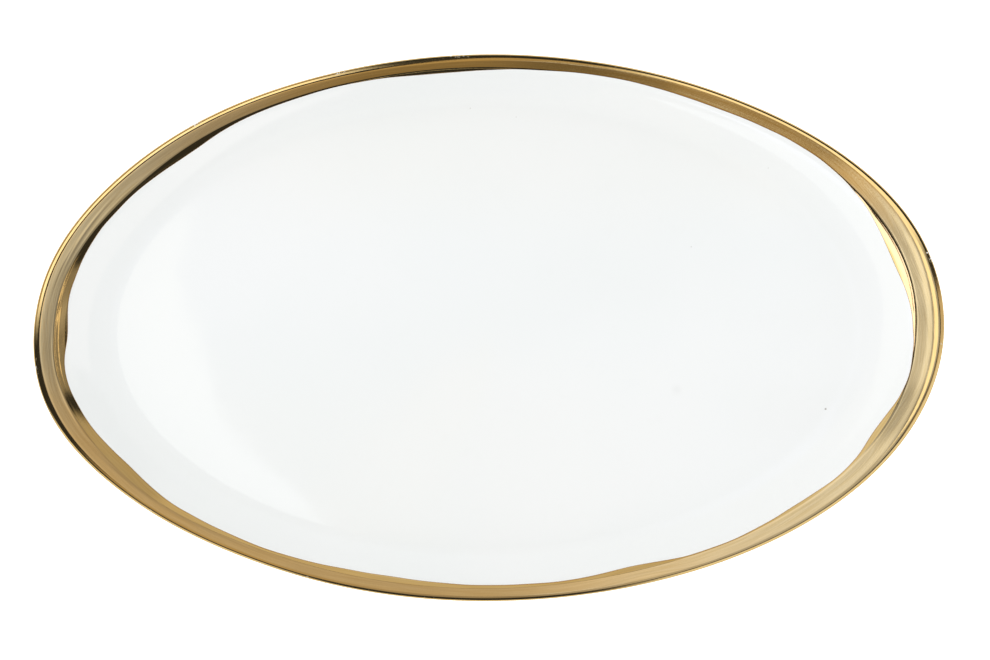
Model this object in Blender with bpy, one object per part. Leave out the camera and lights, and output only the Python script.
"""Oval china serving platter, modelled as the coats it is fired from.

Frame: metres, +Z up, +X along the long axis, +Y across. The origin is the
middle of the foot ring's bearing plane, so the platter stands on z = 0.

The platter is one slip-cast bisque body. Clear glaze covers the face, the lip
and the outside down to the foot, a second patch of glaze fills the well inside
the foot ring, and overglaze gold is brushed over the lip and the flange. Every
coat is an offset skin of the body, cut into the same rings and spokes, so the
coats nest without touching.

Dimensions are in millimetres. A "share" is an oval's size as a share of the
body's own rim, and "around" is the position round the oval, in radians from +X.
"""

import math
from functools import partial

import bpy
import numpy as np

MM = 0.001
SPOKES = 64
SHARP_ANGLE = 50  # degrees

# ---- coats: offsets of the inner and outer skin from the body ---------------
GAP = 0.05  # air between two coats
GLAZE = 0.35
GOLD = 0.15
GLAZE_LAYER = (GAP, GAP + GLAZE)
GOLD_LAYER = (GLAZE_LAYER[1] + GAP, GLAZE_LAYER[1] + GAP + GOLD)

# ---- overall size -----------------------------------------------------------
LENGTH = 381.0  # over the gold, along X
WIDTH = 229.0  # over the gold, along Y
HALF_LENGTH = LENGTH / 2 - GOLD_LAYER[1]  # of the body
HALF_WIDTH = WIDTH / 2 - GOLD_LAYER[1]

# ---- floor, wall and flange -------------------------------------------------
FOOT_HEIGHT = 4.5  # bearing face to the underside of the floor
FLOOR_THICK = 5.5
FLOOR_TOP = FOOT_HEIGHT + FLOOR_THICK
FLOOR_EDGE = 0.81  # share at which the flat floor turns up into the wall
WALL_RISE = 7.8  # floor to crease
WALL_POWER = 2.0  # how the wall steepens from the floor up
CREASE = 0.95  # share at which the wall meets the flange
CREASE_TOP = FLOOR_TOP + WALL_RISE
CREASE_SOFTNESS = 1.0  # height over which the wall and the flange blend
FLANGE_RISE = 0.45  # crease to the start of the lip
FACE_SHARES = (0.45, FLOOR_EDGE, 0.85, 0.88, 0.902)  # rings inside the gold

# ---- lip: a round, by degrees above (+) and below (-) the rim's edge --------
LIP_ABOVE = 1.2  # height of the round over its edge
LIP_BELOW = 2.0  # depth of the round under its edge
LIP_WIDTH = 1.6  # from the edge to the round's centre, before the spread
LIP_START = 98.0  # where the flange meets the round
LIP_END = -75.0
LIP_STEPS = 5
LIP_CENTRE = CREASE_TOP + FLANGE_RISE - LIP_ABOVE * math.sin(math.radians(LIP_START))

# ---- outside of the wall ----------------------------------------------------
UNDER_START = 0.78  # share at which it leaves the flat underside
UNDER_CREASE = 0.962  # share at which it ends, below the flange
UNDER_TOP = CREASE_TOP - 3.9
UNDER_FULLNESS = 1.0  # how far it bulges from its parabola
UNDER_SHARES = (UNDER_CREASE, 0.93, 0.89, 0.85, UNDER_START)

# ---- foot ring --------------------------------------------------------------
FOOT = 0.748  # share of the foot ring's outer side
FOOT_EASE = 1.0  # from the outer side in to the bearing face
FOOT_BEARING = 3.5  # width of the bare face it stands on
FOOT_INNER = FOOT_EASE + FOOT_BEARING
GLAZE_LINE = 1.6  # height at which the glaze stops on the foot's sides
UNDER_MIDDLE = 0.4  # share of the last ring on the flat underside

# Foot profile from the outer side to the well: inset from the outer side, height
FOOT_OUTER_GLAZED = ((-1.2, 4.1), (0.0, 3.0), (0.0, GLAZE_LINE))
FOOT_BARE = (
    (0.3, 0.5),
    (FOOT_EASE, 0.0),
    (FOOT_INNER, 0.0),
    (FOOT_INNER + 0.7, 0.5),
    (FOOT_INNER + 1.0, GLAZE_LINE),
)
FOOT_WELL_GLAZED = (
    (FOOT_INNER + 1.2, 3.0),
    (FOOT_INNER + 2.6, FOOT_HEIGHT - 0.3),
    (FOOT_INNER + 4.6, FOOT_HEIGHT),
)

# ---- unevenness -------------------------------------------------------------
WELL_SHIFT = -1.7  # the wall and crease sit off the rim's centre along X

# Every hump table below has columns: angle and half-width in degrees, size in mm.
# The wall and crease stray towards the middle
WELL_SWELL = (
    (-5, 13, 1.15), (22, 12, 0.6), (95, 14, -0.4), (149, 18, 1.7),
    (180, 10, 0.6), (200, 12, 1.6), (222, 12, -1.0), (270, 14, -0.4),
)
# The rim stands out from the true oval
OUT_OF_TRUE = (
    (22, 12, 0.7), (54, 12, -0.6), (92, 16, 0.6), (147, 16, -1.2),
    (196, 16, 2.6), (236, 14, -0.8), (322, 24, 0.5),
)
# The lip's round is wider, and so flatter
LIP_SPREAD = ((0, 28, 2.6), (95, 16, 0.7), (150, 30, 0.5), (193, 22, 1.2))

# Each fade rises from 0 to 1 outward: the share it starts at, the span it takes
RIM_FADE = (0.77, 0.19)
WALL_FADE_IN = (0.75, 0.08)
WALL_FADE_OUT = (0.945, 0.04)
SWELL_FADE = (0.85, 0.07)

# ---- gold on the face -------------------------------------------------------
GOLD_WIDTH = 5.4  # before the end widening and the strokes
GOLD_WIDER = 5.6  # how much wider at the ends of the oval
GOLD_WIDER_POWER = 6  # how closely the widening keeps to the ends
GOLD_OUTER_SHARE = 0.965  # outermost gold ring before the lip
GOLD_STEPS = (0.0, 0.34, 0.67, 1.0)  # rings, from the gold's inner edge outward
# Where the brush was pressed or lifted, as a hump table
STROKES = (
    (0, 6, 0.8), (16, 12, 4.5), (32, 8, 0.5), (58, 8, 0.5), (74, 9, -0.6),
    (95, 8, 1.1), (120, 7, 0.4), (136, 10, 2.8), (150, 9, 0.9), (165, 10, 1.0),
    (180, 6, 2.4), (198, 8, 1.4), (211, 9, 2.6), (230, 8, 0.7), (255, 13, 1.7),
    (278, 8, 0.6), (290, 7, 2.2), (301, 6, 0.5), (316, 11, 2.3), (336, 8, 2.8),
    (355, 6, 0.5),
)


# ---- blending ---------------------------------------------------------------
def fade(share, start, span):
    """Smooth step from 0 at start to 1 at start + span."""
    x = min(max((share - start) / span, 0.0), 1.0)
    return x * x * (3 - 2 * x)


def humps(around, table):
    """Sum of the table's soft humps at one place round the oval."""
    total = 0.0
    for angle, half_width, size in table:
        off = (math.degrees(around) - angle + 180) % 360 - 180
        total += size * math.exp(-((off / half_width) ** 2))
    return total


def soft_min(first, second, softness):
    overlap = max(softness - abs(first - second), 0.0) / softness
    return min(first, second) - overlap * overlap * softness / 4


# ---- points of the body's surface -------------------------------------------
def oval_point(share, inset, z, around):
    """A point on the uneven oval of this share, moved in by inset."""
    wall = fade(share, *WALL_FADE_IN) * (1 - fade(share, *WALL_FADE_OUT))
    inset -= humps(around, OUT_OF_TRUE) * fade(share, *RIM_FADE)
    inset += humps(around, WELL_SWELL) * wall * fade(share, *SWELL_FADE)
    x = (HALF_LENGTH * share - inset) * math.cos(around) + WELL_SHIFT * wall
    y = (HALF_WIDTH * share - inset) * math.sin(around)
    return x, y, z


def lip_reach(turn, around):
    """How far in from the edge the lip's round has come at this turn."""
    return (LIP_WIDTH + humps(around, LIP_SPREAD)) * (1 - math.cos(turn))


def face_height(share):
    """Flat floor, steepening wall, straight flange."""
    up = max(share - FLOOR_EDGE, 0.0) / (CREASE - FLOOR_EDGE)
    wall = FLOOR_TOP + WALL_RISE * up**WALL_POWER
    flange = CREASE_TOP + FLANGE_RISE * (share - CREASE) / (1 - CREASE)
    return soft_min(wall, flange, CREASE_SOFTNESS)


def face_point(share, around):
    """On the face; the flange is drawn in to meet the start of the lip."""
    reach = lip_reach(math.radians(LIP_START), around)
    inset = reach * max(share - CREASE, 0.0) / (1 - CREASE)
    return oval_point(share, inset, face_height(share), around)


def gold_edge(around):
    """Share at which the gold stops on the face."""
    cos, sin = math.cos(around), math.sin(around)
    width = GOLD_WIDTH + GOLD_WIDER * cos**GOLD_WIDER_POWER + humps(around, STROKES)
    slope = math.hypot(HALF_WIDTH * cos, HALF_LENGTH * sin)
    # The wall's shift and swell, measured square to the oval.
    shift = WELL_SHIFT * HALF_WIDTH * cos / slope
    swell = humps(around, WELL_SWELL) * (HALF_WIDTH * cos**2 + HALF_LENGTH * sin**2) / slope
    mm_per_share = HALF_LENGTH * HALF_WIDTH / slope
    return 1 - (width + shift - swell) / mm_per_share


def gold_point(step, around):
    """On the face, step of the way from the gold's uneven edge to its outer ring."""
    edge = gold_edge(around)
    return face_point(edge + (GOLD_OUTER_SHARE - edge) * step, around)


def lip_point(degrees, around):
    turn = math.radians(degrees)
    rise = LIP_ABOVE if degrees > 0 else LIP_BELOW
    return oval_point(1.0, lip_reach(turn, around), LIP_CENTRE + rise * math.sin(turn), around)


def under_point(share, around):
    """Outside of the wall: a parabola too, a little fuller than the face's."""
    up = (share - UNDER_START) / (UNDER_CREASE - UNDER_START)
    bulge = UNDER_FULLNESS * math.sin(math.pi * up)
    return oval_point(share, -bulge, FOOT_HEIGHT + (UNDER_TOP - FOOT_HEIGHT) * up**2, around)


def foot_rings(profile):
    return [partial(oval_point, FOOT, inset, z) for inset, z in profile]


def section():
    """The body's rings from the middle of the face, over the lip, to the middle
    of the underside. Marks say at which ring each coat starts or stops."""
    marks = {}
    rings = [partial(face_point, share) for share in FACE_SHARES]
    marks["gold_in"] = len(rings)
    rings += [partial(gold_point, step) for step in GOLD_STEPS]
    lip_span = LIP_START - LIP_END
    for i in range(LIP_STEPS + 1):
        rings.append(partial(lip_point, LIP_START - lip_span * i / LIP_STEPS))
    marks["gold_out"] = len(rings) - 1
    rings += [partial(under_point, share) for share in UNDER_SHARES]
    rings += foot_rings(FOOT_OUTER_GLAZED)
    marks["glaze_out"] = len(rings) - 1
    rings += foot_rings(FOOT_BARE)
    marks["well_out"] = len(rings) - 1
    rings += foot_rings(FOOT_WELL_GLAZED)
    rings.append(partial(oval_point, UNDER_MIDDLE, 0.0, FOOT_HEIGHT))
    marks["last"] = len(rings) - 1
    return rings, marks


# ---- triangles --------------------------------------------------------------
def strip(first, second):
    """Triangles between two rings, given by the index of each ring's first point."""
    faces = []
    for j in range(SPOKES):
        following = (j + 1) % SPOKES
        faces.append((first + j, second + j, second + following))
        faces.append((first + j, second + following, first + following))
    return faces


def skin(ring_count, start=0):
    """Triangles of all the strips between consecutive rings."""
    faces = []
    for i in range(ring_count - 1):
        ring = start + i * SPOKES
        faces += strip(ring, ring + SPOKES)
    return faces


def fan(centre, ring):
    return [(centre, ring + j, ring + (j + 1) % SPOKES) for j in range(SPOKES)]


def flipped(faces):
    return [(a, c, b) for a, b, c in faces]


def body_skin(rings):
    """The body as one closed skin: ring points, then the two middle points."""
    turns = [2 * math.pi * j / SPOKES for j in range(SPOKES)]
    points = [ring(around) for ring in rings for around in turns]
    face_middle = len(points)
    foot_middle = face_middle + 1
    points += [(0, 0, FLOOR_TOP), (0, 0, FOOT_HEIGHT)]
    faces = skin(len(rings)) + fan(face_middle, 0)
    faces += flipped(fan(foot_middle, face_middle - SPOKES))
    return np.array(points), faces, face_middle, foot_middle


def point_normals(points, faces):
    """Outward direction at each point, from the faces round it by corner angle."""
    faces = np.array(faces)
    corners = points[faces]
    face_normals = np.cross(corners[:, 1] - corners[:, 0], corners[:, 2] - corners[:, 0])
    face_normals /= np.linalg.norm(face_normals, axis=1)[:, None]
    normals = np.zeros_like(points)
    for k in range(3):
        ahead = corners[:, (k + 1) % 3] - corners[:, k]
        behind = corners[:, (k + 2) % 3] - corners[:, k]
        lengths = np.linalg.norm(ahead, axis=1) * np.linalg.norm(behind, axis=1)
        angle = np.arccos(np.clip((ahead * behind).sum(1) / lengths, -1, 1))
        np.add.at(normals, faces[:, k], face_normals * angle[:, None])
    return normals / np.linalg.norm(normals, axis=1)[:, None]


def coat(points, normals, first, last, layer, start_middle=None, end_middle=None):
    """A closed skin between two offsets of the body's rings first..last. Each
    end is walled off, or runs on to a middle point if its index is given."""
    low, high = (points + normals * offset for offset in layer)
    picked = slice(first * SPOKES, (last + 1) * SPOKES)
    verts = [high[picked], low[picked]]
    ring_count = last - first + 1
    inner = ring_count * SPOKES  # index of the inner skin's first point
    end = inner - SPOKES  # index of the outer skin's last ring
    top, bottom = 2 * inner, 2 * inner + 1  # middle points, if there are any
    faces = skin(ring_count) + flipped(skin(ring_count, inner))

    if start_middle is None:
        faces += flipped(strip(0, inner))
    else:
        verts += [high[[start_middle]], low[[start_middle]]]
        faces += fan(top, 0) + flipped(fan(bottom, inner))
        top, bottom = top + 2, bottom + 2

    if end_middle is None:
        faces += strip(end, inner + end)
    else:
        verts += [high[[end_middle]], low[[end_middle]]]
        faces += flipped(fan(top, end)) + fan(bottom, inner + end)
    return np.vstack(verts), faces


# ---- scene ------------------------------------------------------------------
def material(name, colour, roughness, metallic=0.0, coat_weight=0.0):
    mat = bpy.data.materials.new(name)
    mat.use_nodes = True
    inputs = mat.node_tree.nodes["Principled BSDF"].inputs
    inputs["Base Color"].default_value = (*colour, 1)
    inputs["Roughness"].default_value = roughness
    inputs["Metallic"].default_value = metallic
    inputs["Coat Weight"].default_value = coat_weight
    return mat


def add_piece(name, verts, faces, mat, parent):
    mesh = bpy.data.meshes.new(name)
    mesh.from_pydata((verts * MM).tolist(), [], faces)
    mesh.validate()
    mesh.shade_smooth()
    mesh.set_sharp_from_angle(angle=math.radians(SHARP_ANGLE))
    mesh.materials.append(mat)
    piece = bpy.data.objects.new(name, mesh)
    bpy.context.scene.collection.objects.link(piece)
    piece.parent = parent


def build():
    for old in list(bpy.data.objects):
        bpy.data.objects.remove(old, do_unlink=True)

    bisque = material("bare_bisque", colour=(0.80, 0.77, 0.71), roughness=0.75)
    glaze = material(
        "clear_white_glaze", colour=(0.88, 0.90, 0.89), roughness=0.06, coat_weight=0.5
    )
    gold = material("overglaze_gold", colour=(0.80, 0.58, 0.24), roughness=0.16, metallic=1.0)

    frame = bpy.data.objects.new("platter_frame", None)
    bpy.context.scene.collection.objects.link(frame)

    rings, marks = section()
    points, faces, face_middle, foot_middle = body_skin(rings)
    add_piece("porcelain_body", points, faces, bisque, frame)

    body_coat = partial(coat, points, point_normals(points, faces))
    face_glaze = body_coat(0, marks["glaze_out"], GLAZE_LAYER, start_middle=face_middle)
    add_piece("face_glaze", *face_glaze, glaze, frame)

    well_glaze = body_coat(marks["well_out"], marks["last"], GLAZE_LAYER, end_middle=foot_middle)
    add_piece("foot_well_glaze", *well_glaze, glaze, frame)

    gold_band = body_coat(marks["gold_in"], marks["gold_out"], GOLD_LAYER)
    add_piece("gold_rim_band", *gold_band, gold, frame)


build()
